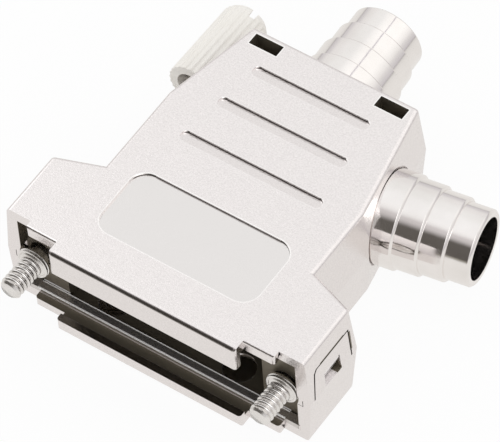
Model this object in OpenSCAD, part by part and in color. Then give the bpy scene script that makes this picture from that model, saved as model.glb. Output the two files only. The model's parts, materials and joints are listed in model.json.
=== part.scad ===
// Two-part die-cast hood for a 15-way D-subminiature connector.
// X runs across the hood, Y from the mating face to the rear, Z up.
// The origin is midway between the jackscrews, at the flange front, on the parting plane.

/* [Hood] */
// Width across the flange at its top face
flange_w = 40.4; // [39.6:0.1:42]
// Thickness of the two halves together
hood_t = 14.8; // [14.4:0.1:16]
// Depth of the flange block at its outer corners
flange_d = 9.1; // [8:0.1:10]
// Depth at which the shoulders meet the body
shoulder_d = 11.2; // [10.8:0.1:12]
// Width of the body behind the shoulders
body_w = 28.5; // [27:0.1:29]
// Width of the rear face
rear_w = 23; // [22:0.1:25]
// Depth of the whole hood behind the flange front
hood_d = 36.6; // [36:0.1:38]
// Depth at which the right side starts to taper
right_bend_d = 21.3; // [20:0.1:24]
// Depth at which the left side starts to taper
left_bend_d = 24.2; // [20:0.1:26]
// Wall thickness at the top face and at the rear
wall = 1.5; // [1.3:0.1:1.7]
// Growth of each side wall from the flat face to the parting plane
draft = 0.5; // [0:0.1:0.7]
// Radius along the outer edges of the flat faces
edge_r = 0.6; // [0.3:0.1:1]

/* [Mouth] */
// Half width of the central tongues
tongue_x = 12.65; // [12:0.05:13]
// Reach of the tongues in front of the flange
tongue_y = 2.6; // [2.2:0.1:3]
// Half width of the lips beside the tongues
lip_x = 16.8; // [16:0.1:17.2]
// Reach of the lips in front of the flange
lip_y = 1; // [0.6:0.1:1.4]
// Height of the lower edge of the upper tongue above the parting plane
upper_tongue_z = 3.7; // [3.4:0.1:4.4]
// Height of the upper edge of the lower tongue below the parting plane
lower_tongue_z = 5.3; // [4.8:0.1:5.6]
// Depth of the slot that holds the connector's flange
slot_d = 1.6; // [1.4:0.1:1.8]

/* [Top face] */
// Width of the label recess
label_w = 21.4; // [16:0.1:22]
// Length of the label recess
label_d = 9.6; // [7:0.1:10]
// Depth of the label and grip recesses
recess_h = 0.3; // [0.1:0.05:0.4]
// Lengths of the grip recesses, front to rear
grip_w = [19.2, 17.4, 15.8];
// Places of the grip recesses behind the flange front
grip_y = [19.2, 25.45, 31.25];
// Width of each grip recess
grip_d = 1.5; // [1:0.1:2]
// Width of each rear window
window_w = 3.8; // [3:0.1:4]
// Length of each rear window
window_d = 1.6; // [1.2:0.1:1.8]

/* [Jackscrews] */
// Distance between the two jackscrews
screw_pitch = 33.3;
// Outer radius of the thread
thread_r = 1.42;
// Length of the threaded tip in front of its washer
thread_l = 4.2; // [3.8:0.1:5]
// Radius of the retaining washers
washer_r = 2.1; // [1.9:0.05:2.15]
// Reach of the right jackscrew forwards from rest
screw_float = 0.8; // [0.4:0.1:0.8]
// Droop of the loose left jackscrew in its clearance holes
left_droop = 1.7; // [0:0.1:2]
// Sideways lean of the loose left jackscrew in its clearance holes
left_lean = 0.27; // [0:0.01:0.3]
// Radius of the thumb knob over its ribs
knob_r = 3.05; // [2.8:0.05:3.2]
// Length of the thumb knob
knob_l = 12.3; // [10:0.1:13]

/* [Crimp ferrules] */
// Radii of the four steps, from the wall outwards
step_r = [5.75, 5.45, 5.08, 4.65];
// Length of one step
step_l = 3.02; // [2.6:0.02:3.2]
// Radius of the cable bore
cable_r = 3.8; // [3.5:0.05:3.9]
// Angle of the side ferrule behind the X axis
side_angle = 9; // [8:0.1:11]
// Lean of the loose rear ferrule towards the left
rear_lean = 2.5; // [0:0.1:3]
// How far the loose rear ferrule stands out from its seat
rear_out = 0.2; // [-0.3:0.05:0.3]
// How far the loose side ferrule stands out from its seat
side_out = -0.25; // [-0.3:0.05:0.3]

/* [Hidden] */
$fn = 48;

eps = 0.01;
gap = 0.08;
half_t = hood_t / 2;
plate_z = half_t - wall;
rim = wall / 2;
rim_h = 1;
tongue_t = 0.95;
lip_corner_r = 0.4;
side_in = flange_w / 2 - wall + 0.1;
body_in = body_w / 2 - wall;
rear_in = rear_w / 2 - wall;
slot_y = slot_d - tongue_y + tongue_t;
label_y = 7.95;
window_x = 8.6;
hook_x = 8.9;
mark_x = 8.55;
mark_y = 3.4;
mark_r = 1.95;

// Outer corners of the flange block and of the body, seen from above
flange_pts = [[-flange_w / 2, -6], [flange_w / 2, -6], [flange_w / 2, flange_d],
              [body_w / 2, shoulder_d], [-body_w / 2, shoulder_d], [-flange_w / 2, flange_d]];
body_pts = [[-body_w / 2, 4], [body_w / 2, 4], [body_w / 2, right_bend_d],
            [rear_w / 2, hood_d], [-rear_w / 2, hood_d], [-body_w / 2, left_bend_d]];

// Room inside: a chamber that follows the outer walls
function room_pts(x) = [
    [-side_in - x, -6], [side_in + x, -6], [side_in + x, flange_d - wall + x],
    [body_in + x, shoulder_d - wall + x], [body_in + x, right_bend_d],
    [rear_in + x, hood_d - wall + x], [-rear_in - x, hood_d - wall + x],
    [-body_in - x, left_bend_d], [-body_in - x, shoulder_d - wall + x],
    [-side_in - x, flange_d - wall + x]];

// Jackscrews
screw_x = screw_pitch / 2;
shank_r = 1;
journal_r = 1.25;
neck_r = 1.2;
left_pivot = [-0.18, -2.2, 0];
guide_r = 1.75;
cradle_y = 1.2;
cradle_d = 1.3;
washer_t = 0.9;
left_washer_y = -0.95;
right_washer_y = -0.2;
stop_gap = 3.65;
stop_r = 2.05;
relief_r = 2.4;
shank_y = 13.2;
knob_y = 30.6;
head_r = 1.8;
head_t = 1.2;
spot_y = 9.4;
head_y = spot_y + screw_float + 0.15;

// Ferrules: seats in the walls
ferrule_neck_r = 4.85;
seat_r = 5.3;
collar_r = step_r[0] + 0.2;
collar_h = 0.45;
hex_t = 0.9;
hex_af = 2 * plate_z - 0.3;
hex_play = 0.7;
neck_l = 1.75;
side_face_a = atan((body_w - rear_w) / 2 / (hood_d - right_bend_d));
side_seat = [13.55, 26.5];
rear_seat = [-0.4, hood_d - 0.3];

// Latch on each flange side
latch_pts = [[0.95, -0.6], [0.95, 0], [1.5, 3.9], [1.95, 4.4], [8, 4.4], [8.1, 0], [8.1, -0.6]];
latch_t = 0.8;
latch_gap = 0.2;
eye_y = [3.05, 6.1];
eye_z = [0.05, 2.4];

// --- shared shapes ---

// One half of a drafted block: rounded at its flat face, widest at the parting plane
module half_block(pts) {
    hull()
        for (p = pts) {
            sx = sign(p.x);
            translate([p.x - sx * edge_r, p.y - edge_r, half_t - edge_r])
                sphere(r = edge_r, $fn = 32);
            translate([p.x + sx * (draft - edge_r), p.y + (p.y > 5 ? draft : 0) - edge_r, 0])
                cylinder(r = edge_r, h = eps, $fn = 32);
        }
}

module upper_outside() {
    half_block(flange_pts);
    half_block(body_pts);
}

// A slab with round corners, from plain boxes and cylinders
module round_slab(w, d, r, h) {
    translate([-w / 2 + r, -d / 2, 0])
        cube([w - 2 * r, d, h]);
    translate([-w / 2, -d / 2 + r, 0])
        cube([w, d - 2 * r, h]);
    for (sx = [-1, 1], sy = [-1, 1])
        translate([sx * (w / 2 - r), sy * (d / 2 - r), 0])
            cylinder(r = r, h = h);
}

// A plate along X whose front top edge and front corners are round
module fronted_plate(half_w, front, low, r) {
    intersection() {
        translate([-half_w, 0, 0])
            rotate([90, 0, 90])
                linear_extrude(2 * half_w) {
                    translate([-front, low])
                        square([front + 0.6, half_t - low - r]);
                    translate([-front + r, low])
                        square([front + 0.6 - r, half_t - low]);
                    translate([-front + r, half_t - r])
                        circle(r = r);
                }
        translate([0, -front + 4, low - 1])
            round_slab(2 * half_w, 8, lip_corner_r, half_t);
    }
}

// Lips and tongue in front of the flange, for the upper half
module mouth_lips(tongue_low) {
    fronted_plate(lip_x, lip_y, plate_z, 0.35);
    difference() {
        fronted_plate(tongue_x, tongue_y, tongue_low, 0.7);
        translate([-tongue_x - 1, -tongue_y + tongue_t, -half_t])
            cube([2 * tongue_x + 2, tongue_y + 1, half_t + plate_z]);
    }
}

// Half-round rests for the two jackscrews, on the room's inner face
module screw_cradles() {
    for (s = [-1, 1])
        translate([s > 0 ? 13.4 : -side_in - 0.5, cradle_y, 0])
            cube([side_in + 0.5 - 13.4, cradle_d, half_t - 0.5]);
}

// Holes for the jackscrews, with flat seats for a screw's head behind the shoulders
module screw_guides() {
    for (s = [-1, 1])
        translate([s * screw_x, 0, 0]) {
            turned(0, guide_r, shoulder_d + 1);
            turned(spot_y, relief_r, 4);
        }
}

// Room in the side walls for the washers and the turned stops
module screw_reliefs() {
    for (s = [-1, 1])
        translate([s * screw_x, 0, 0])
            turned(-1, relief_r, 8);
}

// Places children at a ferrule's seat, with +X pointing out of the hood
module at_rear_seat() {
    translate([rear_seat.x, rear_seat.y, 0])
        rotate([0, 0, 90])
            children();
}

module at_side_seat() {
    translate([side_seat.x, side_seat.y, 0])
        rotate([0, 0, side_face_a])
            children();
}

// Inner wall that holds a ferrule's hexagon against the outer wall
module ferrule_rib() {
    translate([-neck_l - hex_t - hex_play - 1.2, -6.7, 0])
        cube([1.2, 13.4, half_t - 0.5]);
}

// Hole, collar recess and hexagon groove of one ferrule
module ferrule_hole() {
    rotate([0, 90, 0]) {
        translate([0, 0, -6])
            cylinder(r = seat_r, h = 8);
        translate([0, 0, -collar_h])
            cylinder(r = collar_r, h = 3);
    }
    translate([-neck_l - hex_t - hex_play, -7.2, -plate_z])
        cube([hex_t + 2 * hex_play, 14.4, 2 * plate_z]);
}

module ferrule_holes() {
    at_rear_seat()
        ferrule_hole();
    at_side_seat()
        ferrule_hole();
}

// The rim band that steps the joint between the halves
module rim_band(h, play) {
    linear_extrude(h)
        difference() {
            polygon(room_pts(rim + play));
            polygon(room_pts(-play));
        }
}

// A latch tab, or with some play its window, through both flange sides
module latch_slab(play, t) {
    mid = (latch_pts[0].x + latch_pts[5].x) / 2;
    grown = [for (p = latch_pts) p + [sign(p.x - mid) * play, p.y > 1 ? play : 0]];
    for (s = [0, 1])
        mirror([s, 0, 0])
            translate([flange_w / 2 - t, 0, 0])
                rotate([90, 0, 90])
                    linear_extrude(t + 1)
                        polygon(grown);
}

// Ramps that snap into the eyes of the latch tabs
module latch_noses() {
    root = flange_w / 2 - latch_t - 0.2;
    for (s = [0, 1])
        mirror([s, 0, 0])
            translate([root, eye_y[1] - 0.12, 0])
                rotate([90, 0, 0])
                    linear_extrude(eye_y[1] - eye_y[0] - 0.24)
                        polygon([[0, 0.3], [0.7, 0.3], [1.3, eye_z[1] - 0.3],
                                 [1.2, eye_z[1] - 0.1], [0, eye_z[1] - 0.1]]);
}

// --- sub-parts ---

module rear_windows() {
    for (s = [-1, 1])
        translate([s * window_x, hood_d - 1.6, half_t])
            translate([-window_w / 2, -window_d / 2, -2.4])
                cube([window_w, window_d, 3]);
}

// The grips sink from front to rear, ending in a crisp edge
module grips() {
    for (i = [0 : len(grip_w) - 1])
        translate([0, grip_y[i], half_t - recess_h / 2])
            rotate([-atan(recess_h / grip_d), 0, 0])
                round_slab(grip_w[i], grip_d, 0.7, 1);
}

module half_walls(tongue_low) {
    difference() {
        union() {
            difference() {
                upper_outside();
                translate([-30, -10, -1])
                    cube([60, 10, 10]);
                translate([0, 0, -1])
                    linear_extrude(plate_z + 1)
                        polygon(room_pts(0));
                screw_reliefs();
            }
            mouth_lips(tongue_low);
            intersection() {
                union() {
                    screw_cradles();
                    at_rear_seat()
                        ferrule_rib();
                    at_side_seat()
                        ferrule_rib();
                }
                linear_extrude(plate_z + 0.2)
                    polygon(room_pts(0.2));
            }
        }
        screw_guides();
        ferrule_holes();
    }
}

module top_shell() {
    color([0.80, 0.79, 0.78])
        difference() {
            union() {
                half_walls(upper_tongue_z);
                difference() {
                    translate([0, 0, -rim_h])
                        rim_band(rim_h + 0.5, 0);
                    translate([-30, -10, -3])
                        cube([60, 10, 6]);
                    screw_guides();
                    screw_reliefs();
                    ferrule_holes();
                }
            }
            translate([0, label_y, half_t - recess_h])
                round_slab(label_w, label_d, 2.2, 1);
            grips();
            rear_windows();
            latch_slab(latch_gap, latch_t);
        }
    color([0.80, 0.79, 0.78])
        latch_noses();
}

module latch_tabs() {
    difference() {
        intersection() {
            half_block(flange_pts);
            latch_slab(0, latch_t - 0.12);
        }
        for (s = [-1, 1])
            translate([s * flange_w / 2 - 1.5, eye_y[0], eye_z[0]])
                cube([3, eye_y[1] - eye_y[0], eye_z[1] - eye_z[0]]);
    }
    for (s = [0, 1])
        mirror([s, 0, 0])
            translate([side_in + rim + gap + 0.05, latch_pts[1].x, -0.8])
                cube([0.6, latch_pts[5].x - latch_pts[1].x, 0.8]);
}

// Hooks that reach up into the rear windows of the upper half
module rear_hooks() {
    for (s = [-1, 1])
        translate([s * hook_x - 0.9, hood_d - wall - 0.2, 0])
            rotate([90, 0, 90])
                linear_extrude(1.8)
                    polygon([[-0.5, -plate_z - 0.2], [0, -plate_z - 0.2], [0, half_t - 2.25],
                             [0.6, half_t - 1.95], [0, half_t - 1.4], [-0.5, half_t - 1.4]]);
}

// A low rib that stops the connector's flange
module floor_rib() {
    translate([-side_in - 0.2, slot_y, -plate_z - 0.2])
        cube([2 * side_in + 0.4, 1.1, 0.9]);
}

module bottom_shell() {
    color([0.78, 0.77, 0.76])
        difference() {
            union() {
                mirror([0, 0, 1])
                    half_walls(lower_tongue_z);
                rear_hooks();
                floor_rib();
            }
            translate([0, 0, -rim_h - gap])
                rim_band(rim_h + 1, gap);
            for (s = [-1, 1])
                translate([s * mark_x, mark_y, -plate_z - 0.3])
                    cylinder(r = mark_r, h = 1);
        }
    color([0.78, 0.77, 0.76])
        latch_tabs();
}

// A stepped crimp tube with a hexagon that the two halves hold; it points along +X
module ferrule() {
    rotate([0, 90, 0]) {
        difference() {
            union() {
                translate([0, 0, -neck_l])
                    cylinder(r = ferrule_neck_r, h = neck_l + 0.2);
                for (i = [0 : 3])
                    translate([0, 0, i * step_l])
                        rotate_extrude()
                            polygon([[cable_r - 0.2, -0.1 * sign(i)], [step_r[i], -0.1 * sign(i)],
                                     [step_r[i], step_l - 0.25], [step_r[i] - 0.25, step_l],
                                     [cable_r - 0.2, step_l]]);
                translate([0, 0, -neck_l - hex_t])
                    rotate([0, 0, 30])
                        cylinder(d = hex_af / cos(30), h = hex_t + 0.1, $fn = 6);
            }
            translate([0, 0, -neck_l - hex_t - 1])
                cylinder(r = cable_r, h = 4 * step_l + neck_l + hex_t + 2);
        }
    }
}

module rear_ferrule() {
    color([0.72, 0.73, 0.74])
        translate([rear_seat.x, rear_seat.y, 0])
            rotate([0, 0, 90 + rear_lean])
                translate([rear_out, 0, 0])
                    ferrule();
}

module side_ferrule() {
    color([0.72, 0.73, 0.74])
        translate([side_seat.x, side_seat.y, 0])
            rotate([0, 0, side_angle])
                translate([side_out, 0, 0])
                    ferrule();
}

// Puts a piece drawn along +Y on a jackscrew's axis; the left one lies askew in its holes
module on_screw(side) {
    pivot = side < 0 ? left_pivot : [0, 0, 0];
    askew = side < 0 ? [-left_droop, 0, -left_lean] : [0, 0, 0];
    translate([side * screw_x, 0, 0] + pivot)
        rotate(askew)
            translate([0, -pivot.y, 0])
                children();
}

// A turned length along +Y
module turned(y, r, l) {
    translate([0, y, 0])
        rotate([-90, 0, 0])
            cylinder(r = r, h = l);
}

module screw_front(washer_y) {
    thread_end = washer_y - 0.05;
    stop_y = washer_y + stop_gap;
    translate([0, thread_end - thread_l, 0])
        rotate([-90, 0, 0])
            cylinder(r1 = thread_r - 0.35, r2 = thread_r, h = 0.35);
    turned(thread_end - thread_l + 0.35, thread_r, thread_l - 0.35);
    turned(thread_end - 0.1, neck_r, washer_t + 0.25);
    turned(washer_y + washer_t + 0.05, journal_r, stop_gap);
    turned(stop_y, stop_r, 1);
}

module washer(washer_y) {
    difference() {
        turned(washer_y, washer_r, washer_t);
        turned(washer_y - 1, neck_r + 0.05, washer_t + 2);
    }
}

module left_washer() {
    color([0.74, 0.75, 0.76])
        on_screw(-1)
            washer(left_washer_y);
}

module right_washer() {
    color([0.74, 0.75, 0.76])
        on_screw(1)
            washer(right_washer_y);
}

module left_jackscrew() {
    color([0.66, 0.67, 0.69])
        on_screw(-1) {
            screw_front(left_washer_y);
            turned(left_washer_y + stop_gap, journal_r, shank_y - left_washer_y - stop_gap);
            turned(shank_y, shank_r, knob_y + knob_l - 3 - shank_y);
        }
}

module right_jackscrew() {
    color([0.66, 0.67, 0.69])
        on_screw(1)
            difference() {
                union() {
                    screw_front(right_washer_y);
                    turned(right_washer_y + stop_gap, journal_r, head_y - right_washer_y - stop_gap + 0.2);
                    turned(head_y, head_r, head_t);
                }
                translate([-0.3, head_y + head_t - 0.7, -3])
                    cube([0.6, 2, 6]);
            }
}

// Ribbed plastic knob, open at the front, slotted at the rear
module thumb_knob() {
    ribs = 24;
    rib_r = 0.3;
    color([0.94, 0.93, 0.88])
        on_screw(-1)
            translate([0, knob_y, 0])
                difference() {
                    union() {
                        rotate([-90, 0, 0])
                            rotate_extrude()
                                polygon([[0, 0], [knob_r - 0.12, 0], [knob_r - 0.12, knob_l - 1.3],
                                         [knob_r - 0.3, knob_l - 0.7], [knob_r - 0.7, knob_l - 0.25],
                                         [knob_r - 1.3, knob_l], [0, knob_l]]);
                        for (i = [0 : ribs - 1])
                            rotate([0, i * 360 / ribs, 0])
                                translate([knob_r - rib_r, 0, 0])
                                    rotate([-90, 0, 0])
                                        cylinder(r = rib_r, h = knob_l - 1.2, $fn = 24);
                    }
                    turned(-1, shank_r, knob_l - 2);
                    turned(-1, 1.9, 5);
                    rotate([0, 25, 0])
                        translate([-0.4, knob_l - 1.6, -5])
                            cube([0.8, 3, 10]);
                }
}

top_shell();
bottom_shell();
rear_ferrule();
side_ferrule();
left_washer();
left_jackscrew();
thumb_knob();
right_washer();
right_jackscrew();
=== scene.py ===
"""Looks for a two-part die-cast connector hood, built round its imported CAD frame."""

import json
import logging
import math
from dataclasses import dataclass
from enum import StrEnum
from functools import reduce
from typing import Iterable, Sequence

import bmesh
import bpy
from mathutils import Matrix, Vector


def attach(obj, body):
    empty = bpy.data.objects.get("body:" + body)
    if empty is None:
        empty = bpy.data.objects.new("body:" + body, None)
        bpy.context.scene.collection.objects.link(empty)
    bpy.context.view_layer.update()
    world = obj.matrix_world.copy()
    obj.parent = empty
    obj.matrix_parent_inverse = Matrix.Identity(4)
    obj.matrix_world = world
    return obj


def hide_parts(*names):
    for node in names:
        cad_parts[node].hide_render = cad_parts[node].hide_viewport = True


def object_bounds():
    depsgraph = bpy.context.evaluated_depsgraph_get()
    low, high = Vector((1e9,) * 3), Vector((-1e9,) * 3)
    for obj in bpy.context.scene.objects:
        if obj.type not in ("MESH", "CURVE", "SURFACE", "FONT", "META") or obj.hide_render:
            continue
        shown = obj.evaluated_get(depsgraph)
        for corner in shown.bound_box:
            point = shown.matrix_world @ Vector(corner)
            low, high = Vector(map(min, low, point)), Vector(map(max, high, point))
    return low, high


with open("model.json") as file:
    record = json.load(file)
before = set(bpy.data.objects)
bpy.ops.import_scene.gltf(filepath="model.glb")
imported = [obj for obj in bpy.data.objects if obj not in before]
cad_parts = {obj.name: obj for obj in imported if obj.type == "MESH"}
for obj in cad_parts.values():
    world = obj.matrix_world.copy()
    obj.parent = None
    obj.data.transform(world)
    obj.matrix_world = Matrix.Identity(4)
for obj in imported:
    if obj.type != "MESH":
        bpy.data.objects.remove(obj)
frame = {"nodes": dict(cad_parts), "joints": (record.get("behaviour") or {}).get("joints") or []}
CAD_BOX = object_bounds()
LOG = logging.getLogger("hood")

Colour = tuple[float, float, float]
Place = tuple[float, float, float]
Span = tuple[float, float]
Profile = Sequence[tuple[float, float]]
Socket = bpy.types.NodeSocket

MM = 0.001
WHITE: Colour = (1.0, 1.0, 1.0)
NOISE_SPAN: Span = (0.3, 0.7)  # where nearly all values of a noise texture lie
CORNER = 0.3  # how far the middle point of a rounding lies from the sharp corner, in radii
WELD_GAP = 0.0005 * MM  # corners nearer than this are one
FLAT_ANGLE = 0.6  # faces that meet at less than this are one, in degrees
EDGE_SEGMENTS = 2  # faces across a rounded edge
BORDER = 0.2  # softness of a band's border, as a share of half its width
COLOUR_INPUTS, COLOUR_RESULT = (6, 7), 2  # sockets of a mix node for colours
NUMBER_INPUTS, NUMBER_RESULT = (2, 3), 0  # sockets of a mix node for numbers


class Slot(StrEnum):
    """Material slots of the record."""

    SHELL = "shell"
    FERRULE = "ferrule"
    SCREW = "screw"
    KNOB = "knob"


class Side(StrEnum):
    """The two jackscrews: a long one on the left with a knob, a short one on the right."""

    LEFT = "left"
    RIGHT = "right"


# --- places and textures ---


@dataclass(frozen=True)
class Block:
    """A box in the row frame, in millimetres, for finishes that change from place to place."""

    low: Place
    high: Place
    soft_mm: float = 0.02

    @property
    def centre(self) -> Place:
        """The middle of the block in metres."""
        return tuple((a + b) / 2 * MM for a, b in zip(self.low, self.high))

    @property
    def half(self) -> Place:
        """Half the block's size in metres."""
        return tuple((b - a) / 2 * MM for a, b in zip(self.low, self.high))

    @property
    def soft(self) -> float:
        """Half the width of the block's soft border in metres."""
        return self.soft_mm * MM


@dataclass(frozen=True)
class Outline:
    """A rectangle with round corners, seen from above, in millimetres."""

    middle: tuple[float, float]
    size: tuple[float, float]
    round_mm: float

    @property
    def centre(self) -> Place:
        """The middle of the outline in metres."""
        return (self.middle[0] * MM, self.middle[1] * MM, 0.0)

    @property
    def core(self) -> Place:
        """Half the size of the outline inside its round corners, in metres."""
        across, back = (s / 2 - self.round_mm for s in self.size)
        return (across * MM, back * MM, 0.0)


@dataclass(frozen=True)
class Recess:
    """A sunk field of the top face, with a painted highlight on its rim and perhaps painted shade
    on its rear wall.
    """

    shape: Outline
    # The rim's strength is that of its painted highlight.
    rim: Span  # strength of the rim at the front and at the rear
    has_rear_shade: bool = True


@dataclass(frozen=True)
class Noise:
    """The settings of a noise texture."""

    per_mm: float
    detail: float = 2.0
    rough: float = 0.5


@dataclass(frozen=True)
class Bump:
    """The settings of a bump: its height, and the share of its effect."""

    height_mm: float
    strength: float


# --- node helpers ---


class NodeTree:
    """A small builder for the node tree of a material or of the surround."""

    def __init__(self, tree: bpy.types.NodeTree) -> None:
        """Takes the tree to build in."""
        self.tree = tree

    def add(self, kind: str, **values: object) -> bpy.types.Node:
        """Adds a node and sets its properties.

        Args:
            kind: The node's type.
            **values: Properties to set.

        Returns:
            The new node.
        """
        node = self.tree.nodes.new(kind)
        for key, value in values.items():
            setattr(node, key, value)
        return node

    def feed(self, source: object, node: bpy.types.Node, name: object) -> None:
        """Gives a node's input a socket to read, or a plain value.

        Args:
            source: The socket or the value.
            node: The node.
            name: Name or number of the input.
        """
        if isinstance(source, Socket):
            self.tree.links.new(source, node.inputs[name])
        else:
            node.inputs[name].default_value = source

    def sum_node(self, kind: str, operation: str, values: Iterable[object]) -> bpy.types.Node:
        """Adds a node that reckons with several values.

        Args:
            kind: The node's type.
            operation: The kind of sum.
            values: Sockets or plain values, in order.

        Returns:
            The new node.
        """
        node = self.add(kind, operation=operation)
        for place, value in enumerate(values):
            self.feed(value, node, place)
        return node

    def number(self, operation: str, *values: object) -> Socket:
        """Adds a sum on numbers."""
        return self.sum_node("ShaderNodeMath", operation, values).outputs[0]

    def vector(self, operation: str, *values: object) -> Socket:
        """Adds a sum on vectors that gives a vector."""
        return self.sum_node("ShaderNodeVectorMath", operation, values).outputs[0]

    def measure(self, operation: str, *values: object) -> Socket:
        """Adds a sum on vectors that gives a number."""
        return self.sum_node("ShaderNodeVectorMath", operation, values).outputs["Value"]

    def product(self, *values: object) -> Socket:
        """Multiplies several numbers."""
        return reduce(lambda a, b: self.number("MULTIPLY", a, b), values)

    def most(self, *values: object) -> Socket:
        """Takes the greatest of several numbers."""
        return reduce(lambda a, b: self.number("MAXIMUM", a, b), values)

    def split(self, source: Socket) -> Sequence[Socket]:
        """Splits a vector into its X, Y and Z.

        Args:
            source: The vector.

        Returns:
            The three numbers.
        """
        node = self.add("ShaderNodeSeparateXYZ")
        self.feed(source, node, 0)
        return node.outputs[0], node.outputs[1], node.outputs[2]

    def spread(self, source: Socket, low: float, high: float,
               to_low: float, to_high: float) -> Socket:
        """Maps a value from one span to another.

        Args:
            source: The value.
            low: Start of the span read.
            high: End of the span read.
            to_low: Result at the start.
            to_high: Result at the end.

        Returns:
            The mapped value.
        """
        node = self.add("ShaderNodeMapRange")
        for name, value in (("From Min", low), ("From Max", high),
                            ("To Min", to_low), ("To Max", to_high)):
            node.inputs[name].default_value = value
        self.feed(source, node, "Value")
        return node.outputs["Result"]

    def rise(self, source: Socket, low: float, high: float) -> Socket:
        """Goes from 0 to 1 while a value goes from one bound to another."""
        return self.spread(source, low, high, 0.0, 1.0)

    def fall(self, source: Socket, low: float, high: float) -> Socket:
        """Goes from 1 to 0 while a value goes from one bound to another."""
        return self.spread(source, low, high, 1.0, 0.0)

    def blend(self, source: Socket, first: object, second: object) -> Socket:
        """Mixes two colours by a value.

        Args:
            source: Share of the second colour.
            first: Colour or socket at 0.
            second: Colour or socket at 1.

        Returns:
            The mixed colour.
        """
        node = self.add("ShaderNodeMix", data_type="RGBA")
        self.feed(source, node, "Factor")
        for place, colour in zip(COLOUR_INPUTS, (first, second)):
            known = isinstance(colour, Socket)
            self.feed(colour if known else (*colour, 1), node, place)
        return node.outputs[COLOUR_RESULT]

    def mix(self, source: Socket, first: object, second: object) -> Socket:
        """Mixes two numbers by a value.

        Args:
            source: Share of the second number.
            first: Number or socket at 0.
            second: Number or socket at 1.

        Returns:
            The mixed number.
        """
        node = self.add("ShaderNodeMix", data_type="FLOAT")
        self.feed(source, node, 0)
        for place, value in zip(NUMBER_INPUTS, (first, second)):
            self.feed(value, node, place)
        return node.outputs[NUMBER_RESULT]

    def ramp(self, source: Socket, stops: Sequence[tuple[float, Colour]]) -> Socket:
        """Runs a value through a ramp of colours.

        Args:
            source: The value, from 0 to 1.
            stops: Places and colours, in order.

        Returns:
            The colour.
        """
        node = self.add("ShaderNodeValToRGB")
        node.color_ramp.interpolation = "EASE"
        marks = node.color_ramp.elements
        while len(marks) < len(stops):
            marks.new(0.5)
        for mark, (place, colour) in zip(marks, stops):
            mark.position, mark.color = place, (*colour, 1)
        self.feed(source, node, 0)
        return node.outputs["Color"]


class NodeSheet(NodeTree):
    """The node tree of one material, with tools that read places in the row frame."""

    def __init__(self, name: str) -> None:
        """Makes a material with a principled shader.

        Args:
            name: The material's name.
        """
        self.material = bpy.data.materials.new(name)
        self.material.use_nodes = True
        super().__init__(self.material.node_tree)
        self.shader = self.tree.nodes["Principled BSDF"]
        self.coords = self.add("ShaderNodeTexCoord").outputs["Object"]

    def noise(self, texture: Noise) -> Socket:
        """Adds a noise texture.

        Args:
            texture: Its settings.

        Returns:
            The noise's value.
        """
        node = self.add("ShaderNodeTexNoise")
        node.inputs["Scale"].default_value = texture.per_mm / MM
        node.inputs["Detail"].default_value = texture.detail
        node.inputs["Roughness"].default_value = texture.rough
        self.feed(self.coords, node, "Vector")
        return node.outputs["Fac"]

    def grade(self, source: Socket, low: float, high: float) -> Socket:
        """Maps a noise to a span of values."""
        return self.spread(source, *NOISE_SPAN, low, high)

    def bump(self, source: Socket, bump: Bump, under: Socket | None = None) -> Socket:
        """Turns a height into a normal.

        Args:
            source: The height, from 0 to 1.
            bump: The settings.
            under: A normal to start from.

        Returns:
            The bumped normal.
        """
        node = self.add("ShaderNodeBump")
        node.inputs["Distance"].default_value = bump.height_mm * MM
        node.inputs["Strength"].default_value = bump.strength
        self.feed(source, node, "Height")
        if under is not None:
            self.feed(under, node, "Normal")
        return node.outputs["Normal"]

    def folded(self) -> Socket:
        """Gives the place in the row frame, with the left half mirrored onto the right.

        Returns:
            The folded place.
        """
        across, back, high = self.split(self.coords)
        node = self.add("ShaderNodeCombineXYZ")
        for place, value in enumerate((self.number("ABSOLUTE", across), back, high)):
            self.feed(value, node, place)
        return node.outputs[0]

    def inside(self, place: Socket, block: Block) -> Socket:
        """Tells whether a place is in a block.

        Args:
            place: The place in the row frame.
            block: The block.

        Returns:
            1 inside the block and 0 outside.
        """
        off = self.vector("ABSOLUTE", self.vector("SUBTRACT", place, block.centre))
        over = self.split(self.vector("SUBTRACT", off, block.half))
        return self.fall(self.most(*over), -block.soft, block.soft)

    def inside_any(self, place: Socket, blocks: Iterable[Block]) -> Socket:
        """Tells whether a place is in any of several blocks."""
        return self.most(*(self.inside(place, block) for block in blocks))

    def outline(self, place: Socket, shape: Outline) -> Socket:
        """Measures how far a place is outside an outline.

        Args:
            place: The place in the row frame.
            shape: The outline.

        Returns:
            The distance in metres, below 0 inside.
        """
        off = self.vector("ABSOLUTE", self.vector("SUBTRACT", place, shape.centre))
        over = self.vector("MAXIMUM", self.vector("SUBTRACT", off, shape.core), (0.0, 0.0, 0.0))
        flat = self.vector("MULTIPLY", over, (1.0, 1.0, 0.0))
        return self.number("SUBTRACT", self.measure("LENGTH", flat), shape.round_mm * MM)

    def band(self, distance: Socket, low_mm: float, high_mm: float) -> Socket:
        """Tells whether a distance lies between two bounds, with a soft border.

        Args:
            distance: The distance in metres.
            low_mm: The lower bound in millimetres.
            high_mm: The upper bound in millimetres.

        Returns:
            1 between the bounds and 0 outside.
        """
        half = (high_mm - low_mm) / 2 * MM
        off = self.number("SUBTRACT", distance, (low_mm + high_mm) / 2 * MM)
        return self.fall(self.number("ABSOLUTE", off), (1 - BORDER) * half, (1 + BORDER) * half)


# --- finishes ---


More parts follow.
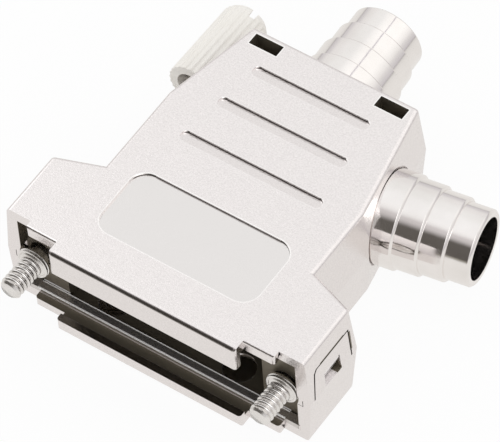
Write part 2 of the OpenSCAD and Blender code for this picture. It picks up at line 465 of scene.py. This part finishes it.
@dataclass(frozen=True)
class SatinNickel:
    """Nickel plate over a zinc casting: a fine grain outside, with painted shade in the room,
    which is also rougher.

    All places are in millimetres and given for the right half, as the left half mirrors it.
    """

    name: str = "satin_nickel"
    pale: Colour = (0.915, 0.875, 0.87)
    deep: Colour = (0.795, 0.76, 0.755)
    # rim is a painted highlight colour, for the sunk fields' rims and the rib's edges.
    rim: Colour = (1.0, 0.98, 0.97)
    label: Colour = (0.825, 0.80, 0.79)
    # room is a painted shade colour, for the inside and the latch gap.
    room: Colour = (0.19, 0.165, 0.125)
    # groove is a painted shade colour, for the rear walls of the sunk fields.
    groove: Colour = (0.16, 0.15, 0.14)
    tongue_shade: Colour = (0.34, 0.32, 0.31)
    rough: Span = (0.10, 0.17)
    room_rough: float = 0.38
    room_metal: float = 0.65
    nose_metal: float = 0.35
    rib_metal: float = 0.05
    clouds: Noise = Noise(0.35, 3, 0.6)
    grain: Noise = Noise(5.5, 3, 0.65)
    fleck: Noise = Noise(9.0, 1)
    grain_bump: Bump = Bump(0.03, 0.7)
    fleck_bump: Bump = Bump(0.01, 0.5)
    label_bump: float = 0.2  # share of the bumps that the label field keeps

    # The inside, darkened with painted shade and made rougher: the mouth, the three steps of the
    # wire room, and the window's shaft.
    dark: tuple[Block, ...] = (
        Block((-1, -1.68, -5.93), (18.85, 9.5, 5.93)),
        Block((-1, 8, -5.93), (13.3, 22, 5.93)),
        Block((-1, 22, -5.93), (12.3, 27, 5.93)),
        Block((-1, 27, -5.93), (11.2, 36, 5.93)),
        Block((6.6, 34.1, 4), (10.6, 35.9, 7.25)),
    )
    # Painted sheen on the rib's top, and painted highlights on the rib's edges and on the front of
    # the marks' rims, all lifted out of the painted shade; the rib's edges are white and almost
    # not metal.
    rib: Block = Block((-1, -0.12, -5.93), (18.8, 1.12, -5.1))
    rib_sheen_share: float = 0.7  # how bright the rib's top is, between the inside and the outside
    rib_edge_highlights: tuple[Block, ...] = (
        Block((-1, -0.28, -5.4), (17, 0.1, -5.08)),
        Block((-1, 0.9, -5.4), (17, 1.28, -5.08)),
    )
    mark: Outline = Outline((8.55, 3.4), (3.9, 3.9), 1.95)
    mark_line: Span = (-0.1, 0.1)
    mark_top: Span = (-5.3, -5.2)
    mark_fade: float = 1.0  # depth over which the rims fade out, in front of their middles
    mark_highlight_share: float = 0.9
    tongue_edge: Block = Block((-1, -2.54, 6.98), (12.3, -2.2, 7.33))

    # The latch tab's gap with its painted shade, its nose kept clear of it, the painted shade at
    # the nose's foot, and the side wall's face, which leans in with height.
    latch: Block = Block((19.2, 0.7, -0.62), (20.75, 8.45, 4.75))
    nose: Block = Block((19.0, 3.0, 0.0), (20.9, 5.8, 2.45))
    nose_foot_shade: Block = Block((19.0, 5.3, -0.05), (20.9, 6.2, 0.5))
    latch_shade: tuple[Block, ...] = (
        Block((19.2, 2.6, 4.38), (20.9, 7.2, 4.74)),
        Block((19.2, 8.05, 1.0), (20.9, 8.44, 4.1)),
    )
    side_face: Span = (20.47, 20.53)
    side_draft: float = 0.0676

    # The sunk fields of the top face, with painted highlights on their rims and, on most of them,
    # painted shade on their rear walls.
    label_field: Recess = Recess(Outline((0, 7.95), (21.4, 9.6), 2.2), (0.6, 1.0))
    grips: tuple[Recess, ...] = (
        Recess(Outline((0, 19.2), (19.2, 1.5), 0.7), (0.12, 0.7)),
        Recess(Outline((0, 25.45), (17.4, 1.5), 0.7), (0.12, 0.7)),
        Recess(Outline((0, 31.25), (15.8, 1.5), 0.7), (0.12, 0.7)),
    )
    window: Recess = Recess(Outline((8.6, 35), (3.8, 1.6), 0.05), (1.0, 1.0), has_rear_shade=False)
    rim_highlight_line: Span = (0.0, 0.14)
    wall_shade_line: Span = (-0.05, 0.05)
    rear_from: float = 0.68  # share of half a field's depth at which its rear begins
    rear_soft: float = 0.1
    wall_top: Span = (7.22, 7.24)
    rim_foot: Span = (7.23, 7.25)
    label_inset: Span = (-0.05, 0.0)
    label_skin: Span = (7.1, 7.2)

    def mark_ring_highlights(self, sheet: NodeSheet, place: Socket) -> Socket:
        """Tells where a highlight is painted on the front halves of the ejector marks' rims.

        Args:
            sheet: The material under construction.
            place: The place in the row frame, folded.

        Returns:
            1 on the rims and 0 elsewhere.
        """
        _, back, high = sheet.split(place)
        middle = self.mark.centre[1]
        ring = sheet.band(sheet.outline(place, self.mark), *self.mark_line)
        low = sheet.fall(high, *(h * MM for h in self.mark_top))
        front = sheet.fall(back, middle - self.mark_fade * MM, middle)
        return sheet.product(ring, front, low)

    def room_shade_share(self, sheet: NodeSheet, place: Socket) -> Socket:
        """Tells where shade is painted on the inside, less the rib's painted sheen and the painted
        highlights.

        Args:
            sheet: The material under construction.
            place: The place in the row frame, folded.

        Returns:
            1 inside and 0 or less outside.
        """
        lit = sheet.most(
            sheet.product(sheet.inside(place, self.rib), self.rib_sheen_share),
            sheet.inside_any(place, self.rib_edge_highlights),
            sheet.product(self.mark_ring_highlights(sheet, place), self.mark_highlight_share))
        return sheet.number("SUBTRACT", sheet.inside_any(place, self.dark), lit)

    def latch_gap_shade(self, sheet: NodeSheet, place: Socket) -> Socket:
        """Tells where shade is painted in the gap round the latch tab and at the nose's foot.

        Args:
            sheet: The material under construction.
            place: The place in the row frame, folded.

        Returns:
            1 in the gap and 0 outside.
        """
        across, _, high = sheet.split(place)
        reach = sheet.number("ADD", across, sheet.product(high, self.side_draft))
        deep = sheet.fall(reach, *(x * MM for x in self.side_face))
        gap = sheet.most(sheet.product(sheet.inside(place, self.latch), deep),
                         sheet.inside_any(place, self.latch_shade))
        bare = sheet.number("SUBTRACT", 1.0, sheet.inside(place, self.nose))
        return sheet.most(sheet.product(gap, bare), sheet.inside(place, self.nose_foot_shade))

    def label_share(self, sheet: NodeSheet, place: Socket) -> Socket:
        """Tells where the floor of the label field is.

        Args:
            sheet: The material under construction.
            place: The place in the row frame, folded.

        Returns:
            1 on the floor and 0 elsewhere.
        """
        _, _, high = sheet.split(place)
        away = sheet.outline(place, self.label_field.shape)
        return sheet.product(sheet.fall(away, *(x * MM for x in self.label_inset)),
                             sheet.fall(high, *(h * MM for h in self.label_skin)))

    def painted_rims_and_walls(self, sheet: NodeSheet, place: Socket, colour: Socket) -> Socket:
        """Paints highlights on the rims and shade on the rear walls of the sunk fields.

        Args:
            sheet: The material under construction.
            place: The place in the row frame, folded.
            colour: The colour without them.

        Returns:
            The colour with them.
        """
        _, back, high = sheet.split(place)
        # rims gather the painted highlights, walls the painted shade.
        rims, walls = [], []
        for field in (self.label_field, *self.grips, self.window):
            away = sheet.outline(place, field.shape)
            start = field.shape.middle[1] + self.rear_from * field.shape.size[1] / 2
            rear = sheet.rise(back, (start - self.rear_soft) * MM, (start + self.rear_soft) * MM)
            rims.append(sheet.product(sheet.band(away, *self.rim_highlight_line),
                                      sheet.mix(rear, *field.rim)))
            if field.has_rear_shade:
                walls.append(sheet.product(sheet.band(away, *self.wall_shade_line), rear))
        top = sheet.rise(high, *(h * MM for h in self.rim_foot))
        low = sheet.fall(high, *(h * MM for h in self.wall_top))
        colour = sheet.blend(sheet.product(sheet.most(*rims), top), colour, self.rim)
        return sheet.blend(sheet.product(sheet.most(*walls), low), colour, self.groove)

    def make(self) -> bpy.types.Material:
        """Builds the material.

        Returns:
            The material.
        """
        sheet = NodeSheet(self.name)
        place = sheet.folded()
        grain, fleck = sheet.noise(self.grain), sheet.noise(self.fleck)
        field = self.label_share(sheet, place)
        edges = sheet.inside_any(place, self.rib_edge_highlights)
        # Painted shade: the inside and the latch gap take the room colour, and are rougher and
        # less metallic.
        room = sheet.most(self.room_shade_share(sheet, place), self.latch_gap_shade(sheet, place))

        outer = sheet.blend(sheet.grade(grain, 0, 1), self.deep, self.pale)
        outer = sheet.blend(field, outer, self.label)
        outer = self.painted_rims_and_walls(sheet, place, outer)
        # Painted highlight on the rib's edges.
        outer = sheet.blend(edges, outer, self.rim)
        outer = sheet.blend(sheet.inside(place, self.tongue_edge), outer, self.tongue_shade)
        sheet.feed(sheet.blend(room, outer, self.room), sheet.shader, "Base Color")

        rough = sheet.grade(sheet.noise(self.clouds), *self.rough)
        sheet.feed(sheet.mix(room, rough, self.room_rough), sheet.shader, "Roughness")
        metal = sheet.mix(sheet.inside(place, self.nose), 1.0, self.nose_metal)
        metal = sheet.mix(edges, metal, self.rib_metal)
        sheet.feed(sheet.mix(room, metal, self.room_metal), sheet.shader, "Metallic")

        level = sheet.mix(field, 1.0, self.label_bump)
        normal = sheet.bump(sheet.product(grain, level), self.grain_bump)
        normal = sheet.bump(sheet.product(fleck, level), self.fleck_bump, normal)
        sheet.feed(normal, sheet.shader, "Normal")
        return sheet.material


@dataclass(frozen=True)
class EvenFinish:
    """A finish that is alike all over: two close colours under a skin of fine marks."""

    name: str
    pale: Colour
    deep: Colour
    rough: Span
    haze: Noise
    marks: Noise
    marks_bump: Bump
    metal: float = 1.0

    def make(self) -> bpy.types.Material:
        """Builds the material.

        Returns:
            The material.
        """
        sheet = NodeSheet(self.name)
        haze, marks = sheet.noise(self.haze), sheet.noise(self.marks)
        colour = sheet.blend(sheet.grade(haze, 0, 1), self.deep, self.pale)
        sheet.feed(colour, sheet.shader, "Base Color")
        sheet.feed(sheet.grade(marks, *self.rough), sheet.shader, "Roughness")
        sheet.feed(sheet.bump(marks, self.marks_bump), sheet.shader, "Normal")
        sheet.shader.inputs["Metallic"].default_value = self.metal
        return sheet.material


@dataclass(frozen=True)
class BrightNickel(EvenFinish):
    """Polished nickel plate on turned metal."""

    name: str = "bright_nickel"
    pale: Colour = (0.92, 0.89, 0.875)
    deep: Colour = (0.86, 0.83, 0.81)
    rough: Span = (0.07, 0.12)
    haze: Noise = Noise(0.25, 3, 0.6)
    marks: Noise = Noise(1.2)
    marks_bump: Bump = Bump(0.01, 0.25)


@dataclass(frozen=True)
class ScrewSteel(EvenFinish):
    """Nickel-plated steel, rolled and turned, with a soft shine."""

    name: str = "screw_steel"
    pale: Colour = (0.88, 0.86, 0.845)
    deep: Colour = (0.78, 0.76, 0.74)
    rough: Span = (0.2, 0.3)
    haze: Noise = Noise(0.8, 3, 0.6)
    marks: Noise = Noise(4.0)
    marks_bump: Bump = Bump(0.01, 0.3)


@dataclass(frozen=True)
class IvoryPlastic(EvenFinish):
    """Moulded ivory plastic with a soft sheen."""

    name: str = "ivory_plastic"
    pale: Colour = (0.95, 0.925, 0.88)
    deep: Colour = (0.925, 0.895, 0.84)
    rough: Span = (0.38, 0.5)
    haze: Noise = Noise(0.4, 3, 0.6)
    marks: Noise = Noise(6.0)
    marks_bump: Bump = Bump(0.01, 0.3)
    metal: float = 0.0


FINISHES: dict[Slot, SatinNickel | EvenFinish] = {
    Slot.SHELL: SatinNickel(),
    Slot.FERRULE: BrightNickel(),
    Slot.SCREW: ScrewSteel(),
    Slot.KNOB: IvoryPlastic(),
}


# --- mesh helpers ---


@dataclass(frozen=True)
class Axis:
    """A line in the row frame that a turned piece is built on."""

    start: Vector
    along: Vector

    @classmethod
    def of_joint(cls, name: str) -> "Axis":
        """Reads the axis of a hinge joint.

        Args:
            name: The joint's name.

        Returns:
            The joint's axis.
        """
        joint = next(j for j in frame["joints"] if j["name"] == name)
        return cls(Vector(joint["pos_m"]), Vector(joint["axis"]).normalized())

    def matrix(self) -> Matrix:
        """The turn and shift that take Z onto this axis."""
        turn = Vector((0, 0, 1)).rotation_difference(self.along).to_matrix().to_4x4()
        return Matrix.Translation(self.start) @ turn

    def span(self, node: str) -> Span:
        """Tells where a CAD node starts and ends along the axis.

        Args:
            node: The node's name.

        Returns:
            The lowest and highest distance from the axis' start.
        """
        places = [(v.co - self.start).dot(self.along) for v in frame["nodes"][node].data.vertices]
        return min(places), max(places)


def add_object(name: str, mesh: bmesh.types.BMesh, place: Matrix) -> bpy.types.Object:
    """Turns a mesh under construction into an object.

    Args:
        name: The object's name.
        mesh: The geometry, which is freed.
        place: Where it goes in the row frame.

    Returns:
        The new object.
    """
    bmesh.ops.recalc_face_normals(mesh, faces=mesh.faces)
    data = bpy.data.meshes.new(name)
    mesh.to_mesh(data)
    mesh.free()
    data.transform(place)
    data.update()
    made = bpy.data.objects.new(name, data)
    bpy.context.scene.collection.objects.link(made)
    return made


def circle(mesh: bmesh.types.BMesh, radius: float, height: float,
           steps: int) -> list[bmesh.types.BMVert]:
    """Adds a ring of corners about Z, or one corner where the radius is 0.

    Args:
        mesh: The mesh that takes the corners.
        radius: The ring's radius.
        height: The ring's height.
        steps: Corners in the ring.

    Returns:
        The corners, in order.
    """
    if radius <= 0:
        return [mesh.verts.new((0, 0, height))]
    turns = (2 * math.pi * k / steps for k in range(steps))
    return [mesh.verts.new((radius * math.cos(a), radius * math.sin(a), height)) for a in turns]


def skin(mesh: bmesh.types.BMesh, rings: Sequence[Sequence[bmesh.types.BMVert]],
         steps: int) -> None:
    """Joins each ring of corners with the next by faces.

    Args:
        mesh: The mesh that takes the faces.
        rings: The rings, each of one corner or of as many as there are steps.
        steps: Faces round.
    """
    for low, high in zip(rings, rings[1:]):
        for k in range(steps):
            n = (k + 1) % steps
            corners = [low[k % len(low)], low[n % len(low)],
                       high[n % len(high)], high[k % len(high)]]
            unique = list(dict.fromkeys(corners))
            if len(unique) > 2:
                mesh.faces.new(unique)


def lathe(mesh: bmesh.types.BMesh, profile: Profile, steps: int) -> None:
    """Turns a closed profile about Z.

    Args:
        mesh: The mesh that takes the faces.
        profile: Pairs of height and radius; a radius of 0 is a pole.
        steps: Segments round.
    """
    skin(mesh, [circle(mesh, radius, height, steps) for height, radius in profile], steps)


def round_rim(face: float, inward: int, radius: float, size: float) -> Profile:
    """Lists the points that round the rim of a turned piece, from its face outwards.

    Args:
        face: Height of the face.
        inward: 1 where the piece lies above its face, and -1 where it lies below.
        radius: The rim's radius.
        size: The rounding's radius.

    Returns:
        Pairs of height and radius.
    """
    return [(face, radius - size),
            (face + inward * CORNER * size, radius - CORNER * size),
            (face + inward * size, radius)]


def soften(piece: bpy.types.Object, width: float, angle: float) -> None:
    """Rounds the edges of a piece and smooths its shading, by modifiers alone.

    Args:
        piece: The object.
        width: Width of the rounding in metres.
        angle: Least angle of an edge that is rounded, in degrees.
    """
    weld = piece.modifiers.new("weld", "WELD")
    weld.merge_threshold = WELD_GAP
    flat = piece.modifiers.new("flat", "DECIMATE")
    flat.decimate_type = "DISSOLVE"
    flat.angle_limit = math.radians(FLAT_ANGLE)
    edge = piece.modifiers.new("edge", "BEVEL")
    edge.width = width
    edge.segments = EDGE_SEGMENTS
    edge.limit_method = "ANGLE"
    edge.angle_limit = math.radians(angle)
    edge.use_clamp_overlap = True
    shade = piece.modifiers.new("shade", "WEIGHTED_NORMAL")
    shade.keep_sharp = True


def smooth(piece: bpy.types.Object, angle: float) -> None:
    """Shades a piece of the scene's own smooth.

    Args:
        piece: The object.
        angle: Angle above which an edge stays sharp, in degrees.
    """
    for face in piece.data.polygons:
        face.use_smooth = True
    piece.data.set_sharp_from_angle(angle=math.radians(angle))


def dress(piece: bpy.types.Object, material: bpy.types.Material) -> None:
    """Gives a piece one material."""
    piece.data.materials.clear()
    piece.data.materials.append(material)


# --- sub-assemblies ---


@dataclass
class DressedNodes:
    """CAD nodes that keep their own form, with a finish and rounded edges."""

    material: bpy.types.Material
    nodes: tuple[str, ...]
    edge: float
    edge_angle: float

    def build(self) -> Iterable[str]:
        """Dresses the nodes and rounds their edges.

        Returns:
            The names of the pieces.
        """
        for name in self.nodes:
            piece = frame["nodes"][name]
            dress(piece, self.material)
            soften(piece, self.edge, self.edge_angle)
        return self.nodes


@dataclass
class Shells(DressedNodes):
    """The two die-cast halves."""

    nodes: tuple[str, ...] = ("top_shell", "bottom_shell")
    edge: float = 0.12 * MM
    edge_angle: float = 28


@dataclass
class Ferrules(DressedNodes):
    """The two stepped crimp tubes."""

    nodes: tuple[str, ...] = ("rear_ferrule", "side_ferrule")
    edge: float = 0.06 * MM
    edge_angle: float = 20


@dataclass
class Knob(DressedNodes):
    """The ribbed thumb knob."""

    nodes: tuple[str, ...] = ("thumb_knob",)
    edge: float = 0.07 * MM
    edge_angle: float = 25


@dataclass
class Washer:
    """A push-on retaining washer behind a thread, with a dished front and a grooved rim."""

    side: Side
    material: bpy.types.Material
    bore_r: float = 1.25 * MM
    outer_r: float = 2.1 * MM
    round_r: float = 0.12 * MM
    groove: float = 0.12 * MM
    groove_at: float = 0.55
    # Share of the thickness behind the front, and depth in from the rim in grooves.
    dish: Profile = ((0.30, 0.4), (0.22, 1.2), (0.20, 2.2), (0.26, 2.8), (0.16, 3.6))
    # Share of the thickness behind the front, and distance out from the bore in grooves.
    collar: Profile = ((0.02, 2.0), (0.0, 1.0), (0.05, 0.0))
    weld: float = 0.001 * MM
    steps: int = 64
    sharp_angle: float = 40

    def profile(self, front: float, back: float) -> Profile:
        """Lists the washer's closed outline.

        Args:
            front: Height of the front.
            back: Height of the back.

        Returns:
            Pairs of height and radius.
        """
        thick, rim, groove = back - front, self.outer_r, self.groove
        middle, ease = front + self.groove_at * thick, CORNER * groove
        return [
            (back, self.bore_r), *round_rim(back, -1, rim, self.round_r),
            (middle + groove, rim), (middle + ease, rim - groove),
            (middle - ease, rim - groove), (middle - groove, rim - ease),
            *((front + share * thick, rim - deep * groove) for share, deep in self.dish),
            *((front + share * thick, self.bore_r + out * groove) for share, out in self.collar),
            (back, self.bore_r)]

    def build(self) -> Iterable[str]:
        """Turns the washer on its screw's axis.

        Returns:
            The names of the pieces.
        """
        node = f"{self.side}_washer"
        axis = Axis.of_joint(f"{self.side}_turn")
        mesh = bmesh.new()
        lathe(mesh, self.profile(*axis.span(node)), self.steps)
        bmesh.ops.remove_doubles(mesh, verts=mesh.verts, dist=self.weld)
        made = add_object(f"{self.side}_washer_body", mesh, axis.matrix())
        smooth(made, self.sharp_angle)
        dress(made, self.material)
        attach(made, f"{self.side}_washer_body")
        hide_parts(node)
        return (made.name,)


@dataclass
class Jackscrew:
    """One captive jackscrew: threaded tip, neck, stop ring, and a long shank or a slotted head."""

    side: Side
    material: bpy.types.Material
    thread_r: float = 1.42 * MM
    root_r: float = 1.08 * MM
    pitch: float = 0.635 * MM
    crest_power: float = 0.8  # below 1 the crests are rounder and the roots sharper
    chamfer: float = 0.35 * MM
    overlap: float = 0.02 * MM
    neck_r: float = 1.2 * MM
    journal_r: float = 1.25 * MM
    journal_l: float = 9.5 * MM
    stop_r: float = 2.05 * MM
    stop_t: float = 1.0 * MM
    stop_slack: float = 0.05 * MM
    shank_r: float = 1.0 * MM
    head_r: float = 1.8 * MM
    head_t: float = 1.2 * MM
    # Distance from the head's rear face and in from its rim, in roundings.
    head_crown: Profile = ((1.5, 0.0), (0.4, 0.5), (0.0, 1.5))
    slot_w: float = 0.6 * MM
    slot_d: float = 0.7 * MM
    round_r: float = 0.1 * MM
    steps: int = 48
    rows_a_turn: int = 14
    thread_angle: float = 50
    body_angle: float = 30

    def thread(self, mesh: bmesh.types.BMesh, start: float, end: float) -> None:
        """Adds a helical thread with rounded crests and a chamfered flat tip.

        Args:
            mesh: The mesh that takes the faces.
            start: Height of the tip.
            end: Height where the thread meets the neck.
        """
        rows = math.ceil((end - start) / self.pitch * self.rows_a_turn)
        rings = []
        for row in range(rows + 1):
            rise = (end - start) * row / rows
            limit = self.thread_r - max(0.0, self.chamfer - rise)
            ring = []
            for k in range(self.steps):
                turn = k / self.steps
                crest = abs(math.sin(math.pi * (rise / self.pitch - turn))) ** self.crest_power
                radius = min(self.root_r + (self.thread_r - self.root_r) * crest, limit)
                angle = 2 * math.pi * turn
                ring.append(mesh.verts.new((radius * math.cos(angle), radius * math.sin(angle),
                                            start + rise)))
            rings.append(ring)
        mesh.faces.new(tuple(reversed(rings[0])))
        skin(mesh, rings, self.steps)

    def profile(self, front: float, back: float, stop: float, end: float) -> Profile:
        """Lists the outline behind the thread.

        Args:
            front: Height of the washer's front.
            back: Height of the washer's back.
            stop: Height of the stop ring's front.
            end: Height of the screw's rear end.

        Returns:
            Pairs of height and radius.
        """
        size, stop_end = self.round_r, stop + self.stop_t
        shoulder, tip = back + size / 2, front - self.overlap
        line = [(tip, 0), (tip, self.neck_r), (shoulder, self.neck_r),
                (shoulder, self.journal_r), (stop, self.journal_r),
                *round_rim(stop, 1, self.stop_r, size),
                *reversed(round_rim(stop_end, -1, self.stop_r, size)),
                (stop_end, self.journal_r)]
        if self.side is Side.LEFT:
            step = stop_end + self.journal_l
            line += [(step, self.journal_r), (step + size, self.shank_r), (end, self.shank_r)]
        else:
            under = end - self.head_t
            line += [(under, self.journal_r), (under, self.head_r - size),
                     (under + size, self.head_r)]
            line += [(end - low * size, self.head_r - deep * size)
                     for low, deep in self.head_crown]
        return line + [(end, 0)]

    def cut_slot(self, piece: bpy.types.Object, axis: Axis, end: float) -> None:
        """Cuts the driver slot across the head.

        Args:
            piece: The screw.
            axis: The screw's axis.
            end: Height of the head's rear face, which the cutter is centred on.
        """
        # Longer than the head is wide, and with half its depth behind the rear face.
        size = Vector((self.slot_w, 3 * self.head_r, 2 * self.slot_d))
        mesh = bmesh.new()
        bmesh.ops.create_cube(mesh, size=1.0, matrix=Matrix.Translation((0, 0, end))
                              @ Matrix.Diagonal(size.to_4d()))
        cutter = add_object("slot_cutter", mesh, axis.matrix())
        cut = piece.modifiers.new("slot", "BOOLEAN")
        cut.operation, cut.object, cut.solver = "DIFFERENCE", cutter, "EXACT"
        shown = piece.evaluated_get(bpy.context.evaluated_depsgraph_get())
        fresh = bpy.data.meshes.new_from_object(shown)
        piece.modifiers.clear()
        piece.data = fresh
        bpy.data.objects.remove(cutter)

    def stop_place(self, node: str, axis: Axis) -> float:
        """Finds where the stop ring starts on the CAD screw.

        Args:
            node: The CAD node of the screw.
            axis: The screw's axis.

        Returns:
            The height of the ring's front face.
        """
        heights = []
        for vertex in frame["nodes"][node].data.vertices:
            off = vertex.co - axis.start
            height = off.dot(axis.along)
            if (off - axis.along * height).length > self.stop_r - self.stop_slack:
                heights.append(height)
        return min(heights)

    def build(self) -> Iterable[str]:
        """Builds the screw on its joint's axis.

        Returns:
            The names of the pieces.
        """
        node = f"{self.side}_jackscrew"
        axis = Axis.of_joint(f"{self.side}_turn")
        start, end = axis.span(node)
        front, back = axis.span(f"{self.side}_washer")
        mesh = bmesh.new()
        self.thread(mesh, start, front)
        thread = add_object(f"{self.side}_thread", mesh, axis.matrix())
        smooth(thread, self.thread_angle)
        mesh = bmesh.new()
        lathe(mesh, self.profile(front, back, self.stop_place(node, axis), end), self.steps)
        body = add_object(f"{self.side}_screw_body", mesh, axis.matrix())
        if self.side is Side.RIGHT:
            self.cut_slot(body, axis, end)
        smooth(body, self.body_angle)
        for made in (body, thread):
            dress(made, self.material)
            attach(made, f"{self.side}_screw")
        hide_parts(node)
        return body.name, thread.name


# --- studio ---


@dataclass(frozen=True)
class Lamp:
    """A soft square lamp that looks at the object."""

    name: str
    spot: Place
    size: float
    watts: float
    aim: Place = (0.0, 0.02, 0.0)

    def build(self) -> None:
        """Adds the lamp."""
        data = bpy.data.lights.new(self.name, "AREA")
        data.energy, data.size = self.watts, self.size
        made = bpy.data.objects.new(self.name, data)
        made.location = self.spot
        made.rotation_mode = "QUATERNION"
        made.rotation_quaternion = (Vector(self.aim) - Vector(self.spot)).to_track_quat("-Z", "Y")
        bpy.context.scene.collection.objects.link(made)


@dataclass(frozen=True)
class Camera:
    """A long lens above the mouth's right corner, with angles in degrees."""

    azimuth: float = 37.876
    elevation: float = 52.965
    roll: float = -4.529
    lens: float = 359.9
    sensor: float = 36.0
    reach: Span = (0.01, 20.0)
    spot: Place = (0.21060, -0.25245, 0.45329)

    def build(self) -> None:
        """Adds the camera."""
        data = bpy.data.cameras.new("camera")
        data.lens, data.sensor_width = self.lens, self.sensor
        data.clip_start, data.clip_end = self.reach
        made = bpy.data.objects.new("camera", data)
        az, el, roll = (math.radians(a) for a in (self.azimuth, self.elevation, self.roll))
        back = Vector((math.sin(az) * math.cos(el), -math.cos(az) * math.cos(el), math.sin(el)))
        right = (-back).cross(Vector((0, 0, 1))).normalized()
        up = back.cross(right)
        across = right * math.cos(roll) + up * math.sin(roll)
        upward = up * math.cos(roll) - right * math.sin(roll)
        turn = Matrix((across, upward, back)).transposed().to_4x4()
        made.matrix_world = Matrix.Translation(Vector(self.spot)) @ turn
        bpy.context.scene.collection.objects.link(made)
        bpy.context.scene.camera = made


@dataclass(frozen=True)
class Floor:
    """A pale paper floor that the camera sees as white, and gloss as fading with distance."""

    gap: float = 0.05 * MM
    half: float = 3.0
    paper: tuple[Colour, Colour] = ((0.90, 0.90, 0.90), (0.93, 0.93, 0.93))
    fibre: Noise = Noise(0.02)
    rough: float = 0.9
    glow_share: float = 0.93
    fade: Span = (0.05, 0.45)
    gloss: Span = (0.86, 0.48)
    gloss_tint: Colour = (1.0, 0.98, 0.95)

    def make(self) -> bpy.types.Material:
        """Builds the floor's material.

        Returns:
            The material.
        """
        sheet = NodeSheet("floor_paper")
        sheet.feed(sheet.blend(sheet.noise(self.fibre), *self.paper), sheet.shader, "Base Color")
        sheet.shader.inputs["Roughness"].default_value = self.rough
        rays = sheet.add("ShaderNodeLightPath")
        glossy, direct = rays.outputs["Is Glossy Ray"], rays.outputs["Is Camera Ray"]
        level = sheet.spread(sheet.measure("LENGTH", sheet.coords), *self.fade, *self.gloss)
        glow = sheet.add("ShaderNodeEmission")
        sheet.feed(sheet.mix(glossy, 1.0, level), glow, "Strength")
        sheet.feed(sheet.blend(glossy, WHITE, self.gloss_tint), glow, "Color")
        mix = sheet.add("ShaderNodeMixShader")
        sheet.feed(sheet.product(sheet.most(glossy, direct), self.glow_share), mix, 0)
        sheet.feed(sheet.shader.outputs[0], mix, 1)
        sheet.feed(glow.outputs[0], mix, 2)
        sheet.feed(mix.outputs[0], sheet.tree.nodes["Material Output"], "Surface")
        return sheet.material

    def build(self) -> None:
        """Adds the floor just under the object."""
        mesh = bmesh.new()
        low, far = CAD_BOX[0].z - self.gap, self.half
        mesh.faces.new([mesh.verts.new((x, y, low))
                        for x, y in ((-far, -far), (far, -far), (far, far), (-far, far))])
        made = add_object("floor", mesh, Matrix.Identity(4))
        dress(made, self.make())


@dataclass(frozen=True)
class Surround:
    """A room that is white to the camera, soft to the object, and dark in front to gloss.

    The walls are ramps from the horizon up. Spans are parts of a unit vector's X or Y.
    """

    front_wall: tuple[tuple[float, Colour], ...] = (
        (0.0, (0.42, 0.40, 0.35)), (0.12, (0.11, 0.10, 0.09)), (0.66, (0.12, 0.11, 0.10)),
        (0.86, (0.66, 0.63, 0.63)), (0.97, (1.0, 0.99, 0.98)))
    rear_wall: tuple[tuple[float, Colour], ...] = (
        (0.0, (0.56, 0.52, 0.56)), (0.05, (0.68, 0.66, 0.67)), (0.35, (0.86, 0.845, 0.835)),
        (0.7, (0.93, 0.93, 0.92)), (0.95, (1.0, 1.0, 1.0)))
    front_ends: Span = (-0.45, -0.1)
    front_side_ends: Span = (0.15, 0.5)
    glow_way: Place = (0.335, 0.579, 0.743)
    glow_ends: Span = (0.78, 0.97)
    glow: Colour = (1.14, 1.13, 1.11)
    seam_half: Span = (0.012, 0.03)
    seam_lean: float = 0.22
    seam_ends: Span = (0.0, 0.1)
    seam: Colour = (0.62, 0.59, 0.64)
    light: float = 0.8

    def mirrored(self, room: NodeTree) -> Socket:
        """Paints what shiny surfaces see: the walls, a warm glow and a grey seam.

        Args:
            room: The world's node tree.

        Returns:
            The colour in the direction looked at.
        """
        way = room.add("ShaderNodeTexCoord").outputs["Generated"]
        across, back, high = room.split(way)
        facing = room.measure("DOT_PRODUCT", way, self.glow_way)
        rear = room.ramp(high, self.rear_wall)
        rear = room.blend(room.rise(facing, *self.glow_ends), rear, self.glow)
        off = room.number("SUBTRACT", across, room.product(back, self.seam_lean))
        strip = room.product(room.fall(room.number("ABSOLUTE", off), *self.seam_half),
                             room.rise(back, *self.seam_ends))
        rear = room.blend(strip, rear, self.seam)
        ahead = room.product(room.fall(back, *self.front_ends),
                             room.fall(across, *self.front_side_ends))
        return room.blend(ahead, rear, room.ramp(high, self.front_wall))

    def build(self) -> None:
        """Adds the world."""
        world = bpy.data.worlds.new("surround")
        bpy.context.scene.world = world
        world.use_nodes = True
        room = NodeTree(world.node_tree)
        rays = room.add("ShaderNodeLightPath")
        soft = (self.light, self.light, self.light)
        colour = room.blend(rays.outputs["Is Glossy Ray"], soft, self.mirrored(room))
        colour = room.blend(rays.outputs["Is Camera Ray"], colour, WHITE)
        room.feed(colour, world.node_tree.nodes["Background"], "Color")


@dataclass(frozen=True)
class Studio:
    """Camera, floor, surround and lamps."""

    camera: Camera = Camera()
    floor: Floor = Floor()
    surround: Surround = Surround()
    lamps: tuple[Lamp, ...] = (
        Lamp("key", (0.42, -0.18, 0.50), 0.5, 0.8),
        Lamp("fill", (-0.55, 0.05, 0.40), 0.6, 0.5),
    )

    def build(self) -> None:
        """Sets the whole studio."""
        for part in (self.camera, self.floor, self.surround, *self.lamps):
            part.build()
        bpy.context.scene.view_settings.view_transform = "Standard"


def main() -> None:
    """Builds every sub-assembly in order, then the studio."""
    logging.basicConfig(level=logging.INFO, format="%(name)s: %(message)s")
    materials = {slot: finish.make() for slot, finish in FINISHES.items()}
    steel = materials[Slot.SCREW]
    parts = (
        Shells(materials[Slot.SHELL]),
        Ferrules(materials[Slot.FERRULE]),
        Washer(Side.LEFT, steel),
        Washer(Side.RIGHT, steel),
        Jackscrew(Side.LEFT, steel),
        Jackscrew(Side.RIGHT, steel),
        Knob(materials[Slot.KNOB]),
    )
    for part in parts:
        for name in part.build():
            LOG.info("built %s", name)
    Studio().build()


if __name__ == "__main__":
    main()
